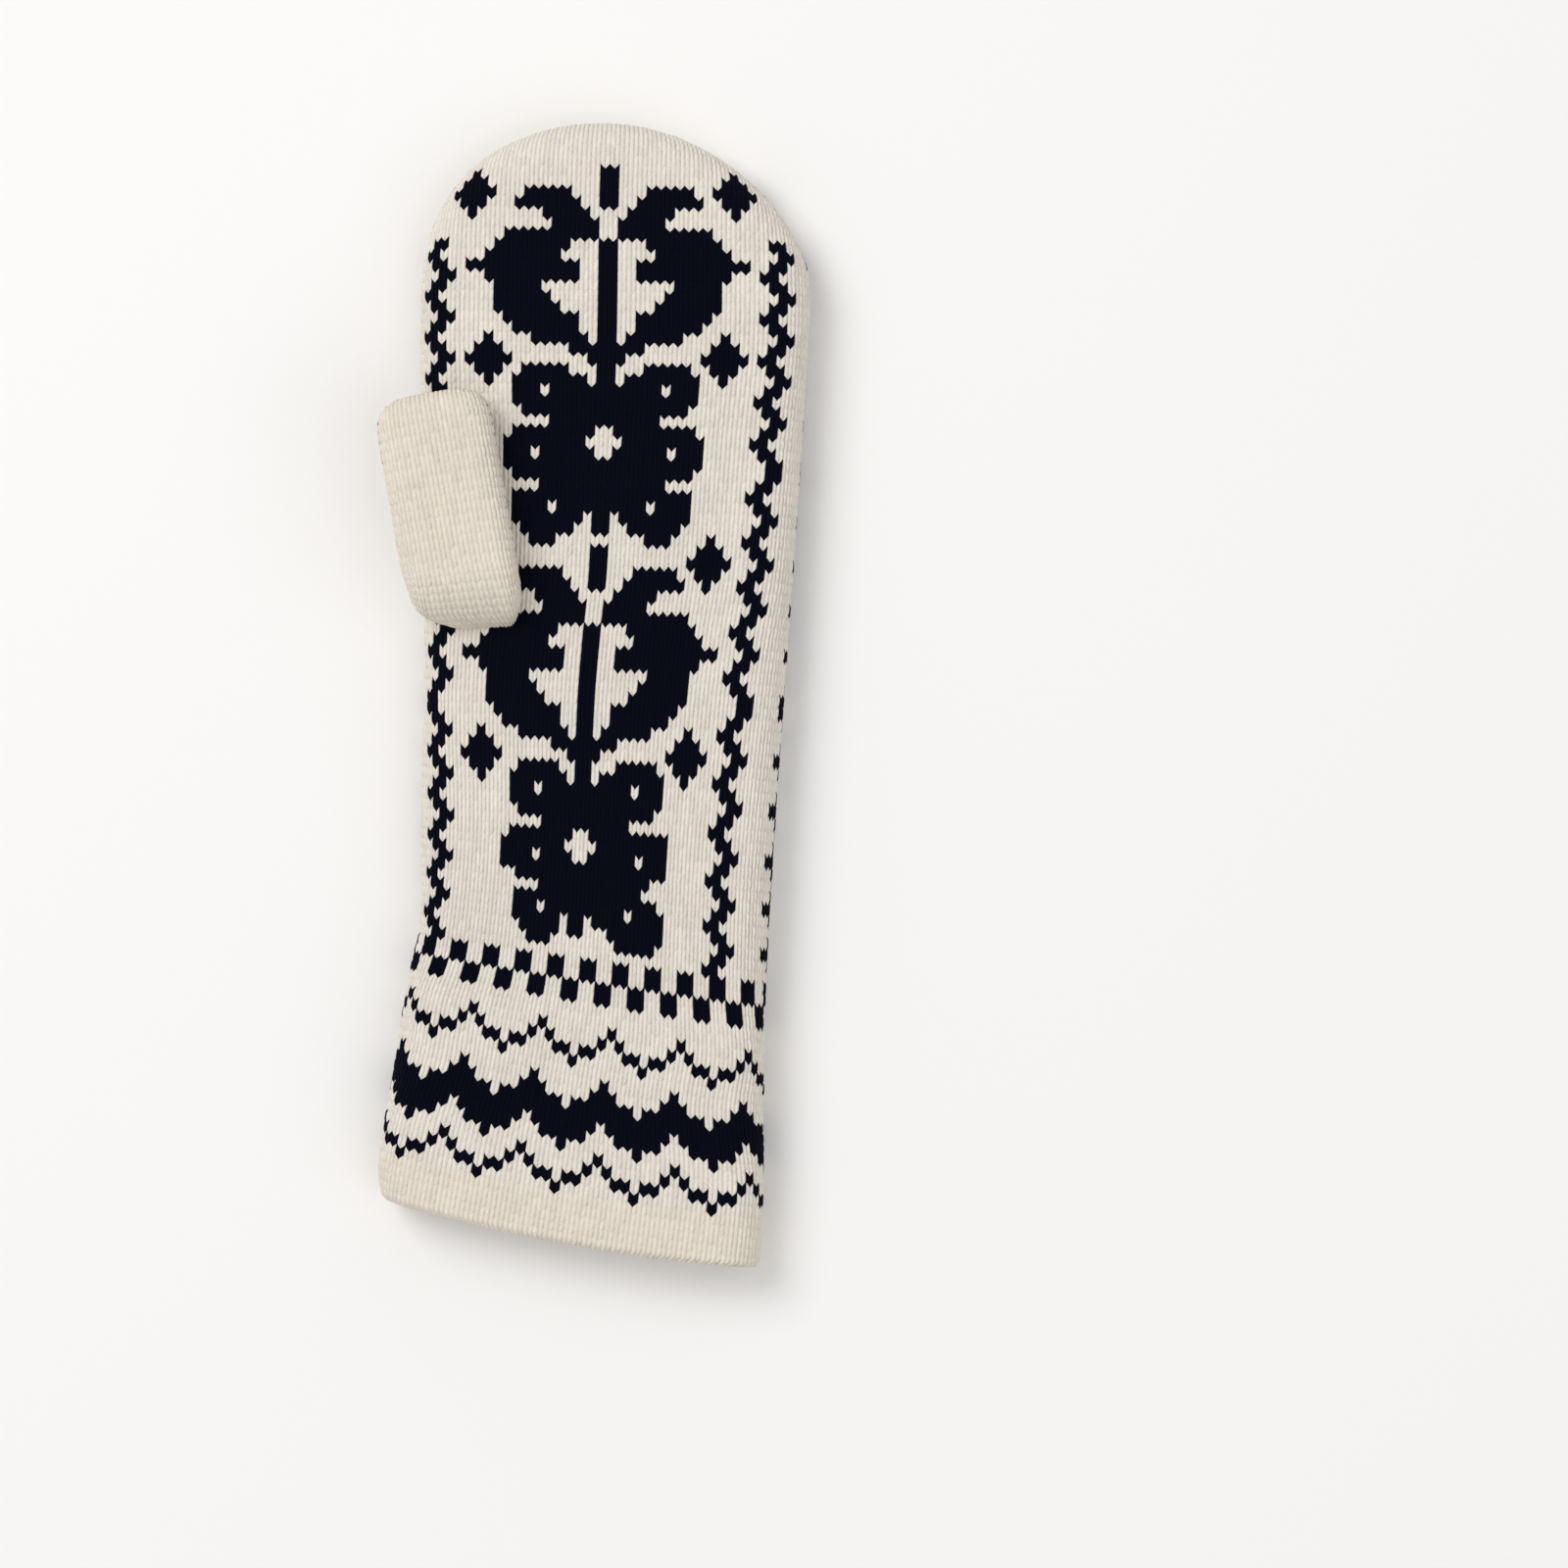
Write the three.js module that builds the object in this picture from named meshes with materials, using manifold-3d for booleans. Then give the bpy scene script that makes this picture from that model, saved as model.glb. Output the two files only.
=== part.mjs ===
// A knitted wool mitten for the left hand, lying flat with its palm up and its fingers along +Y.
// Millimetres, +Z up, the underside on z = 0, the origin under the middle of the outline.
// Four pieces: the hand with its closed round tip, the patterned cuff, the doubled hem at the
// mouth, and the plain thumb that stands out of an opening in the palm and lies along it.

import * as THREE from 'three';
import Module from 'manifold-3d';

// Where the middle of the lower flower lies, which every table below is measured from
const FLOWER_X = 2.32;
const FLOWER_Y = -39.5;

// The knitted wall, and the doubled wall of the hem
const WALL = 3.0;
const HEM_WALL = 4.2;
// Half of the thickness of the flattened tube, which is also the radius of its side folds
const FOLD = 9.0;
// How far the middle of the palm swells above the folds, and how far in from the edge
const CROWN = 1.0;
const CROWN_REACH = 30.0;
// The slit that is left between two pieces that meet
const SEAM_GAP = 0.3;
const ROW_PITCH = 2.74;

// Rows of stitches, counted from the mouth
const HEM_END_ROW = 5.0;
const CUFF_END_ROW = 27.0;
const TIP_ROW = 87.4;

// The round tip is half an ellipse that starts on TIP_ROW
const TIP_HALF_WIDTH = 50.0;
const TIP_LENGTH = 45.0;
const TIP_STEPS = 11;
// The tip leans to the thumb's side, by this much at its end
const TIP_LEAN = 5.4;

// Steps round a section: in each quarter fold, and across the palm, the back and the thumb
const FOLD_STEPS = 4;
const PALM_STEPS = 8;
const BACK_STEPS = 3;
const THUMB_STEPS = 4;

// The knitted rows: how high each lies, how it slopes down to the right, how it bows, and its ends
const STATIONS = table(['row', 'y', 'slope', 'bow', 'left', 'right'], [
  [0.0, -102.0, 7.8, 1.1, -46.6, 51.3],
  [3.0, -93.8, 7.6, 1.0, -47.9, 51.2],
  [8.0, -80.1, 6.9, 0.8, -46.8, 51.1],
  [14.0, -63.9, 7.4, 0.6, -44.8, 50.3],
  [20.0, -47.5, 8.0, 0.5, -43.2, 49.7],
  [24.0, -36.6, 6.4, 0.3, -41.9, 49.3],
  [27.0, -28.4, 5.2, 0.1, -40.5, 49.1],
  [32.0, -14.9, 4.0, 0.0, -40.5, 49.1],
  [37.5, 0.0, 1.9, 0.0, -41.3, 49.3],
  [43.0, 16.0, -0.3, 0.0, -41.8, 49.5],
  [50.0, 36.3, -1.8, 0.0, -42.2, 50.0],
  [62.0, 71.2, -1.8, 0.0, -43.9, 50.8],
  [73.5, 103.2, -2.0, 0.0, -46.3, 51.4],
  [82.0, 125.7, -2.2, 0.0, -47.7, 51.7],
  [87.4, 140.0, -2.2, 0.0, -48.25, 51.75],
]);

// Rows at which the tube has a section of its own
const HEM_ROWS = [0.9, 2.4, 3.8];
const CUFF_ROWS = [7.5, 10.5, 13.5, 16.5, 19.5, 22.0, 24.5];
const HAND_ROWS = [29.5, 32.0, 35.0, 38.5, 42.0, 46.0, 50.5, 55.0, 60.0, 65.0, 70.0, 75.0, 79.5, 83.5];

// The rolled edge of the mouth: sections close to the mouth, and how far each is drawn in
const MOUTH_EDGE = table(['row', 'outside', 'inside'], [
  [0.0, 1.5, 1.2],
  [0.15, 0.6, 0.4],
  [0.45, 0.15, 0.1],
]);

// Soft dents in the palm: place, depth, and reach across and along
const DENTS = table(['x', 'y', 'depth', 'across', 'along'], [
  [-30.0, -31.0, 1.1, 13.0, 4.0],
  [22.0, -37.0, 0.8, 22.0, 5.0],
  [-8.0, -72.0, 0.6, 24.0, 7.0],
  [26.0, 60.0, 0.8, 12.0, 34.0],
  [-4.0, 46.0, -0.7, 12.0, 9.0],
]);

// The thumb: middle of its base and of its end, measured from the lower flower
const THUMB_BASE = new THREE.Vector2(-30.5, 53.4);
const THUMB_END = new THREE.Vector2(-43.9, 112.9);
const THUMB_HALF_WIDTH = 14.8;
const THUMB_ROOT_HALF_WIDTH = 9.6;
const THUMB_ROOT_SHIFT = 3.4;
const THUMB_ROOT_FOLD = 3.6;
const THUMB_THICKNESS = 12.0;
const THUMB_ROOT_DEPTH = 16.0;
const THUMB_WALL = 2.8;
// The root starts inside the palm, turns over a small radius and then lies along the palm
const THUMB_ROOT_Z = 14.4;
const THUMB_TURN_RADIUS = 1.5;
const THUMB_TURN_STEPS = 6;
const THUMB_RUN_STEPS = 5;
// The base line lies more level than the thumb's own sections, over a short length
const THUMB_SLANT = 0.133;
const THUMB_SLANT_LENGTH = 22.0;
const THUMB_TIP_LENGTH = 13.0;
const THUMB_TIP_STEPS = 6;
const THUMB_TIP_SQUARENESS = 3.2;
const THUMB_REST_Z = 2 * FOLD + CROWN + 0.4;

const WOOL = new THREE.MeshStandardMaterial({ color: 0xe8e0d2, roughness: 0.95, metalness: 0.0 });
const NAVY = new THREE.MeshStandardMaterial({ color: 0x0c0f22, roughness: 0.95, metalness: 0.0 });
const PATTERNED = new THREE.MeshStandardMaterial({ color: 0x8b8a92, roughness: 0.95, metalness: 0.0 });

function table(columns, rows) {
  return rows.map((row) => Object.fromEntries(columns.map((name, i) => [name, row[i]])));
}

// The value of one column at any row: a smooth curve through the stations
function station(column, row) {
  let i = 0;
  while (i < STATIONS.length - 2 && row > STATIONS[i + 1].row) {
    i += 1;
  }
  const here = STATIONS[i];
  const next = STATIONS[i + 1];
  const before = STATIONS[Math.max(i - 1, 0)];
  const after = STATIONS[Math.min(i + 2, STATIONS.length - 1)];
  const span = next.row - here.row;
  const t = (row - here.row) / span;
  const slopeHere = (next[column] - before[column]) / (next.row - before.row) * span;
  const slopeNext = (after[column] - here[column]) / (after.row - here.row) * span;
  const t2 = t * t;
  const t3 = t2 * t;
  return here[column] * (2 * t3 - 3 * t2 + 1) + slopeHere * (t3 - 2 * t2 + t)
    + next[column] * (3 * t2 - 2 * t3) + slopeNext * (t3 - t2);
}

function smooth(t) {
  const s = THREE.MathUtils.clamp(t, 0, 1);
  return s * s * (3 - 2 * s);
}

// Half the thickness of a flattened tube at a distance in from its outline
function foldHeight(distance, radius) {
  const reach = Math.min(Math.max(distance / radius, 0), 1);
  return radius * Math.sqrt(1 - (1 - reach) ** 2);
}

// Fractions across a section from one fold to the other, close together on the folds
function spread(halfWidth, radius, steps) {
  const fold = Math.min(radius, 0.5 * halfWidth) / halfWidth;
  const fractions = [-1];
  for (let i = 1; i <= FOLD_STEPS; i += 1) {
    fractions.push(-1 + fold * (1 - Math.cos(i / FOLD_STEPS * Math.PI / 2)));
  }
  for (let i = 1; i < steps; i += 1) {
    fractions.push(THREE.MathUtils.lerp(-1 + fold, 1 - fold, i / steps));
  }
  return [...fractions, ...fractions.slice(0, FOLD_STEPS + 1).reverse().map((f) => -f)];
}

// One closed loop of points: left to right over the top, then back along the bottom
function loopOf(halfWidth, radius, overSteps, underSteps, pointAt) {
  const over = spread(halfWidth, radius, overSteps).map((f) => pointAt(f, 1));
  const under = spread(halfWidth, radius, underSteps).map((f) => pointAt(f, -1));
  return [...over, ...under.slice(1, -1).reverse()];
}

// The rise of the palm above a flat sheet: its crown less its dents
function palmRise(x, y, fromEdge) {
  let rise = CROWN * smooth(fromEdge / CROWN_REACH);
  for (const dent of DENTS) {
    const across = (x - dent.x) / dent.across;
    const along = (y - dent.y) / dent.along;
    rise -= dent.depth * Math.exp(-across * across - along * along) * smooth(fromEdge / FOLD);
  }
  return rise;
}

// A point of the hand or cuff, from its place in the flat knitted sheet
function sheetPoint(x, y, row, distance, inset, side) {
  const height = foldHeight(distance, FOLD - inset);
  const rise = side > 0 ? palmRise(x, y, distance + inset) * height / (FOLD - inset) : 0;
  const slope = Math.tan(THREE.MathUtils.degToRad(station('slope', Math.min(row, TIP_ROW))));
  const bow = station('bow', Math.min(row, TIP_ROW)) / 1000;
  const lean = TIP_LEAN * smooth((y - station('y', TIP_ROW)) / TIP_LENGTH);
  return new THREE.Vector3(
    FLOWER_X + x - lean,
    FLOWER_Y + y - slope * x + bow * x * x,
    FOLD + side * height + rise,
  );
}

// A section of the tube on one row, drawn in from the outside by the inset
function tubeLoop(row, inset) {
  const middle = (station('left', row) + station('right', row)) / 2;
  const half = (station('right', row) - station('left', row)) / 2 - inset;
  const y = station('y', row);
  return loopOf(half, FOLD - inset, PALM_STEPS, BACK_STEPS, (fraction, side) => {
    const distance = half * (1 - Math.abs(fraction));
    return sheetPoint(middle + half * fraction, y, row, distance, inset, side);
  });
}

// A section of the round tip, at an angle of the ellipse
function tipLoop(angle, inset) {
  const a = TIP_HALF_WIDTH - inset;
  const b = TIP_LENGTH - inset;
  const middle = (station('left', TIP_ROW) + station('right', TIP_ROW)) / 2;
  const half = a * Math.cos(angle);
  const y = b * Math.sin(angle);
  return loopOf(half, FOLD - inset, PALM_STEPS, BACK_STEPS, (fraction, side) => {
    const x = half * fraction;
    const reach = Math.hypot(x / a, y / b);
    const steepness = Math.hypot(x / (a * a), y / (b * b));
    const distance = steepness > 0 ? (1 - reach) * reach / steepness : FOLD;
    return sheetPoint(middle + x, station('y', TIP_ROW) + y, TIP_ROW, distance, inset, side);
  });
}

function tipEnd(inset) {
  const middle = (station('left', TIP_ROW) + station('right', TIP_ROW)) / 2;
  const y = station('y', TIP_ROW) + TIP_LENGTH - inset;
  return sheetPoint(middle, y, TIP_ROW, 0, inset, 1);
}

// A skin of triangles through loops with equal numbers of points, closed by an end point if given
function addSkin(mesh, loops, endPoint) {
  const count = loops[0].length;
  const first = mesh.points.length;
  for (const loop of loops) {
    mesh.points.push(...loop);
  }
  for (let i = 0; i < loops.length - 1; i += 1) {
    for (let k = 0; k < count; k += 1) {
      const a = first + i * count + k;
      const b = first + i * count + (k + 1) % count;
      mesh.faces.push([a, b, a + count], [b, b + count, a + count]);
    }
  }
  if (endPoint) {
    const end = mesh.points.length;
    const last = first + (loops.length - 1) * count;
    mesh.points.push(endPoint);
    for (let k = 0; k < count; k += 1) {
      mesh.faces.push([last + k, last + (k + 1) % count, end]);
    }
  }
  return { first, last: first + (loops.length - 1) * count, count };
}

// The ring between an outer and an inner loop of one section
function addRim(mesh, outerStart, innerStart, count, reversed) {
  for (let k = 0; k < count; k += 1) {
    const next = (k + 1) % count;
    const faces = [
      [outerStart + k, innerStart + k, outerStart + next],
      [outerStart + next, innerStart + k, innerStart + next],
    ];
    for (const face of faces) {
      mesh.faces.push(reversed ? face.reverse() : face);
    }
  }
}

// A hollow wall between outer and inner loops, open at both ends or closed at the far end
function wall(outerLoops, innerLoops, outerEnd, innerEnd) {
  const mesh = { points: [], faces: [] };
  const outer = addSkin(mesh, outerLoops, outerEnd);
  const firstInnerFace = mesh.faces.length;
  const inner = addSkin(mesh, innerLoops, innerEnd);
  for (let i = firstInnerFace; i < mesh.faces.length; i += 1) {
    mesh.faces[i].reverse();
  }
  addRim(mesh, outer.first, inner.first, outer.count, false);
  if (!outerEnd) {
    addRim(mesh, outer.last, inner.last, outer.count, true);
  }
  return mesh;
}

// A filled body inside one set of loops, with a flat fan on its first loop
function filled(loops, endPoint) {
  const mesh = { points: [], faces: [] };
  const skin = addSkin(mesh, loops, endPoint);
  const middle = loops[0].reduce((sum, p) => sum.add(p), new THREE.Vector3());
  mesh.points.push(middle.divideScalar(loops[0].length));
  const centre = mesh.points.length - 1;
  for (let k = 0; k < skin.count; k += 1) {
    mesh.faces.push([skin.first + k, centre, skin.first + (k + 1) % skin.count]);
  }
  return mesh;
}

// The frame of the thumb: along it, across it, and the line that its root turns over
const thumbAlong = THUMB_END.clone().sub(THUMB_BASE).normalize();
const thumbAcross = new THREE.Vector2(thumbAlong.y, -thumbAlong.x);
const thumbLength = THUMB_END.distanceTo(THUMB_BASE);
const turnAt = THUMB_ROOT_DEPTH + THUMB_TURN_RADIUS;
const turnZ = THUMB_REST_Z - THUMB_TURN_RADIUS;

// A point of the thumb, from its distance along, across and above its base line
function thumbPoint(along, across, z) {
  const slanted = along - THUMB_SLANT * across * (1 - smooth(along / THUMB_SLANT_LENGTH));
  return new THREE.Vector3(
    FLOWER_X + THUMB_BASE.x + thumbAlong.x * slanted + thumbAcross.x * across,
    FLOWER_Y + THUMB_BASE.y + thumbAlong.y * slanted + thumbAcross.y * across,
    z,
  );
}

// A section of the root, standing at a turn angle and sunk below the turn by a drop
function rootLoop(turn, drop, inset) {
  const part = turn / (Math.PI / 2);
  const depth = THREE.MathUtils.lerp(THUMB_ROOT_DEPTH, THUMB_THICKNESS, part);
  const spreading = 0.8 * smooth(3 * part) + 0.2 * part;
  const half = THREE.MathUtils.lerp(THUMB_ROOT_HALF_WIDTH, THUMB_HALF_WIDTH, spreading) - inset;
  const shift = THUMB_ROOT_SHIFT * (1 - spreading);
  const radius = depth / 2 - inset;
  const fold = THREE.MathUtils.lerp(THUMB_ROOT_FOLD, THUMB_THICKNESS / 2, part ** 2) - inset;
  return loopOf(half, fold, THUMB_STEPS, THUMB_STEPS, (fraction, side) => {
    const offset = side * radius / fold * foldHeight(half * (1 - Math.abs(fraction)), fold);
    const reach = THUMB_TURN_RADIUS + depth / 2 + offset;
    const along = turnAt - reach * Math.cos(turn);
    return thumbPoint(along, shift + half * fraction, turnZ - drop + reach * Math.sin(turn));
  });
}

// A section of the part that lies along the palm, whose end closes in a rounded square
function runLoop(beyond, inset) {
  const start = thumbLength - THUMB_TIP_LENGTH;
  const length = THUMB_TIP_LENGTH - inset;
  const full = THUMB_HALF_WIDTH - inset;
  const radius = THUMB_THICKNESS / 2 - inset;
  const along = beyond < 0 ? start + beyond : start + length * beyond;
  const end = Math.max(beyond, 0) ** THUMB_TIP_SQUARENESS;
  const half = full * (1 - end) ** (1 / THUMB_TIP_SQUARENESS);
  return loopOf(half, radius, THUMB_STEPS, THUMB_STEPS, (fraction, side) => {
    const reach = (Math.abs(half * fraction / full) ** THUMB_TIP_SQUARENESS + end) ** (1 / THUMB_TIP_SQUARENESS);
    const height = foldHeight(full * (1 - reach), radius);
    return thumbPoint(along, half * fraction, THUMB_REST_Z + THUMB_THICKNESS / 2 + side * height);
  });
}

// All sections of the thumb in order, and the point that closes its end
function thumbLoops(inset) {
  const loops = [rootLoop(0, turnZ - THUMB_ROOT_Z, inset)];
  for (let i = 0; i <= THUMB_TURN_STEPS; i += 1) {
    loops.push(rootLoop(i / THUMB_TURN_STEPS * Math.PI / 2, 0, inset));
  }
  const run = thumbLength - THUMB_TIP_LENGTH - turnAt;
  for (let i = 1; i <= THUMB_RUN_STEPS; i += 1) {
    loops.push(runLoop(-run * (1 - i / THUMB_RUN_STEPS) - 1e-6, inset));
  }
  for (let i = 1; i < THUMB_TIP_STEPS; i += 1) {
    loops.push(runLoop(Math.sin(i / THUMB_TIP_STEPS * Math.PI / 2), inset));
  }
  return loops;
}

function thumbEnd(inset) {
  return thumbPoint(thumbLength - inset, 0, THUMB_REST_Z + THUMB_THICKNESS / 2);
}

// Exact joining and cutting
const wasm = await Module();
wasm.setup();

function solidOf(mesh) {
  const vertProperties = new Float32Array(mesh.points.flatMap((p) => [p.x, p.y, p.z]));
  const triVerts = new Uint32Array(mesh.faces.flat());
  return new wasm.Manifold(new wasm.Mesh({ numProp: 3, vertProperties, triVerts }));
}

function geometryOf(solid) {
  const mesh = solid.getMesh();
  const geometry = new THREE.BufferGeometry();
  geometry.setAttribute('position', new THREE.BufferAttribute(mesh.vertProperties, 3));
  geometry.setIndex(new THREE.BufferAttribute(mesh.triVerts, 1));
  return geometry;
}

const halfGap = SEAM_GAP / 2 / ROW_PITCH;

// The hem: the mouth's rolled edge, and a doubled wall up to its last row
function hemSolid() {
  const outer = MOUTH_EDGE.map((edge) => tubeLoop(edge.row, edge.outside));
  const inner = MOUTH_EDGE.map((edge) => tubeLoop(edge.row, HEM_WALL - edge.inside));
  for (const row of [...HEM_ROWS, HEM_END_ROW - halfGap]) {
    outer.push(tubeLoop(row, 0));
    inner.push(tubeLoop(row, HEM_WALL));
  }
  return solidOf(wall(outer, inner));
}

function cuffSolid() {
  const rows = [HEM_END_ROW + halfGap, ...CUFF_ROWS, CUFF_END_ROW - halfGap];
  return solidOf(wall(rows.map((row) => tubeLoop(row, 0)), rows.map((row) => tubeLoop(row, WALL))));
}

// The hand: the tube, the round tip, and the opening that the thumb stands in
function handSolid() {
  const rows = [CUFF_END_ROW + halfGap, ...HAND_ROWS];
  const outer = rows.map((row) => tubeLoop(row, 0));
  const inner = rows.map((row) => tubeLoop(row, WALL));
  for (let i = 0; i < TIP_STEPS; i += 1) {
    const angle = i / TIP_STEPS * Math.PI / 2;
    outer.push(tipLoop(angle, 0));
    inner.push(tipLoop(angle, WALL));
  }
  const shell = solidOf(wall(outer, inner, tipEnd(0), tipEnd(WALL)));
  const loops = [rootLoop(0, FOLD, -SEAM_GAP), ...thumbLoops(-SEAM_GAP)];
  const opening = solidOf(filled(loops, thumbEnd(-SEAM_GAP)));
  return shell.subtract(opening);
}

function thumbSolid() {
  return solidOf(wall(thumbLoops(0), thumbLoops(THUMB_WALL), thumbEnd(0), thumbEnd(THUMB_WALL)));
}

const mitten = new THREE.Group();

function addPiece(name, solid, material) {
  const mesh = new THREE.Mesh(geometryOf(solid), material);
  mesh.name = name;
  mitten.add(mesh);
}

addPiece('hand', handSolid(), PATTERNED);
addPiece('cuff', cuffSolid(), NAVY);
addPiece('cuff_hem', hemSolid(), WOOL);
addPiece('thumb', thumbSolid(), WOOL);

export default mitten;
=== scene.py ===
# %% [markdown]
# # A knitted mitten
# The real object is a long wool mitten for the left hand, knitted in the round in cream and
# near-black navy wool. It lies flat with its palm up. Its looks are in its stitches, so this
# scene lays a real stitch on every place of the knitted cloth, some ten thousand of them, over
# the same shape that the CAD model has. A picture of knitting on a smooth surface would be
# quicker, but its edges and its colour steps would look printed from close by.

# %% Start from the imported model
import math

import bpy
import numpy as np
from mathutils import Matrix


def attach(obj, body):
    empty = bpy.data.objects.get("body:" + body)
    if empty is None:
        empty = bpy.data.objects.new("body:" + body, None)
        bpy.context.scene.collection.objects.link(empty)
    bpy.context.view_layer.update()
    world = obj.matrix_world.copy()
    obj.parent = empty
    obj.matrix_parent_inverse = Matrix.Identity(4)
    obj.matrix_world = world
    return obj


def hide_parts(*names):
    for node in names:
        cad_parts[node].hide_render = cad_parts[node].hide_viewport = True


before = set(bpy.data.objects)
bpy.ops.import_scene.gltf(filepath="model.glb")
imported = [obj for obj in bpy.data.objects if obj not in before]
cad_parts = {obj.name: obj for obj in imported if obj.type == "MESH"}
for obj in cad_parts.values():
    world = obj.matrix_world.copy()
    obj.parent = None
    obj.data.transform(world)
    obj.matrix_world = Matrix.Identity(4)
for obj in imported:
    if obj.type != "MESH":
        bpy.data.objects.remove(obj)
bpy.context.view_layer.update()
bpy.ops.object.select_all(action="DESELECT")
MM = 0.001
print("CAD nodes:", sorted(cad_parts))

# %% [markdown]
# ## Camera, floor and light
# The photograph looks straight down, and one of its pixels is a quarter of a millimetre. The
# lower flower of the pattern is the place that everything is measured from, so the camera is set
# by the pixel where that flower lies. The mitten leans a little to the right in the picture,
# which is a roll of the camera. The colours are shown as they are, with no film look, because the
# photograph is plain too. The light is broad and soft, a little stronger from the upper left.

# %% Camera
PIXEL = 0.25 * MM
IMAGE_SIZE = 1600
FLOWER = (2.32 * MM, -39.5 * MM)
FLOWER_PIXEL = (592, 862)
LEAN = math.radians(2.9)
CAMERA_HEIGHT = 1.6
SEEN_HEIGHT = 18 * MM
SENSOR = 36.0

right_of_flower = (IMAGE_SIZE / 2 - FLOWER_PIXEL[0]) * PIXEL
above_flower = (FLOWER_PIXEL[1] - IMAGE_SIZE / 2) * PIXEL
camera_x = FLOWER[0] + right_of_flower * math.cos(LEAN) - above_flower * math.sin(LEAN)
camera_y = FLOWER[1] + right_of_flower * math.sin(LEAN) + above_flower * math.cos(LEAN)
bpy.ops.object.camera_add(location=(camera_x, camera_y, CAMERA_HEIGHT), rotation=(0, 0, LEAN))
camera = bpy.context.object
camera.data.sensor_width = SENSOR
camera.data.lens = SENSOR * (CAMERA_HEIGHT - SEEN_HEIGHT) / (IMAGE_SIZE * PIXEL)
bpy.context.scene.camera = camera
bpy.context.scene.view_settings.view_transform = "Standard"
print("camera at", [round(value, 4) for value in camera.location])

# %% Floor and light
bpy.ops.mesh.primitive_plane_add(size=6)
floor = bpy.context.object
floor.name = "floor"
paper = bpy.data.materials.new("pale_floor")
paper.use_nodes = True
paper_shader = paper.node_tree.nodes["Principled BSDF"]
paper_shader.inputs["Base Color"].default_value = (0.93, 0.918, 0.908, 1)
paper_shader.inputs["Roughness"].default_value = 0.9
floor.data.materials.append(paper)


def soft_light(name, place, size, watts):
    """A square area light that looks at the middle of the mitten."""
    aim = math.atan2(math.hypot(place[0], place[1]), place[2])
    turn = math.atan2(place[0], -place[1])
    bpy.ops.object.light_add(type="AREA", location=place, rotation=(aim, 0, turn))
    light = bpy.context.object
    light.name = name
    light.data.size = size
    light.data.energy = watts


soft_light("key", place=(-1.5, 1.1, 2.2), size=1.6, watts=42.0)
soft_light("fill", place=(1.8, -1.0, 2.6), size=3.2, watts=26.0)
sky = bpy.context.scene.world or bpy.data.worlds.new("sky")
bpy.context.scene.world = sky
sky.use_nodes = True
background = sky.node_tree.nodes["Background"]
background.inputs["Color"].default_value = (1.0, 0.995, 0.985, 1)
background.inputs["Strength"].default_value = 0.52
bpy.ops.object.select_all(action="DESELECT")
print("lights:", len(bpy.data.lights))

# %% [markdown]
# ## The knitted cloth
# A mitten is a tube of cloth pressed flat. Each knitted row is one section of it. The tables give
# each row's height on the hand, its slope down to the right, its bow and its two ends, and then
# where the middle column of the pattern lies and how wide a stitch is there. Rows count from the
# mouth, columns from the middle of the palm, and both run on smoothly between the lines.

# %% Tables of the rows
# row, y, slope in degrees, bow per metre, left end, right end
ROWS = np.array([
    (0.0, -102.0, 7.8, 1.1, -46.6, 51.3),
    (3.4, -93.8, 7.6, 1.0, -47.9, 51.2),
    (8.4, -80.1, 6.9, 0.8, -46.8, 51.1),
    (14.4, -63.9, 7.4, 0.6, -44.8, 50.3),
    (20.4, -47.5, 8.0, 0.5, -43.2, 49.7),
    (24.4, -36.6, 6.4, 0.3, -41.9, 49.3),
    (27.4, -28.4, 5.2, 0.1, -40.5, 49.1),
    (32.4, -14.9, 4.0, 0.0, -40.5, 49.1),
    (37.9, 0.0, 1.9, 0.0, -41.3, 49.3),
    (43.4, 16.0, -0.3, 0.0, -41.8, 49.5),
    (50.4, 36.3, -1.8, 0.0, -42.2, 50.0),
    (62.4, 71.2, -1.8, 0.0, -43.9, 50.8),
    (73.9, 103.2, -2.0, 0.0, -46.3, 51.4),
    (82.4, 125.7, -2.2, 0.0, -47.7, 51.7),
    (87.8, 140.0, -2.2, 0.0, -48.25, 51.75),
])
ROW, HEIGHT_UP, SLOPE, BOW, LEFT, RIGHT = range(6)
# row, middle of the palm's pattern, width of a stitch on the palm
COLUMNS_AT = np.array([
    (0.0, -7.3, 2.55),
    (8.5, -5.1, 2.48),
    (15.0, -3.4, 2.26),
    (20.5, -1.8, 2.23),
    (26.0, -0.6, 2.08),
    (37.5, 0.0, 2.02),
    (50.0, -0.35, 2.13),
    (55.5, 0.1, 2.17),
    (62.0, 1.0, 2.24),
    (73.5, 0.8, 2.32),
    (84.0, 0.3, 2.42),
    (98.0, -1.0, 2.40),
    (107.0, -1.3, 2.40),
])
MIDDLE, STITCH_WIDTH = 1, 2
TIP_ROW = 87.8
LAST_ROW = 107
STITCHES_ROUND = 90
TIP_LENGTH = 45.0 * MM
TIP_ROW_PITCH = 2.66 * MM
# The tip leans to the thumb's side, by this much at its end
TIP_LEAN = 5.4 * MM
ROW_PITCH = 2.74 * MM
WALL = 3.0 * MM
HEM_WALL = 4.2 * MM
FOLD = 9.0 * MM
# How much wider a fold is when it is opened out flat
OPENED = math.pi / 2 - 1


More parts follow.
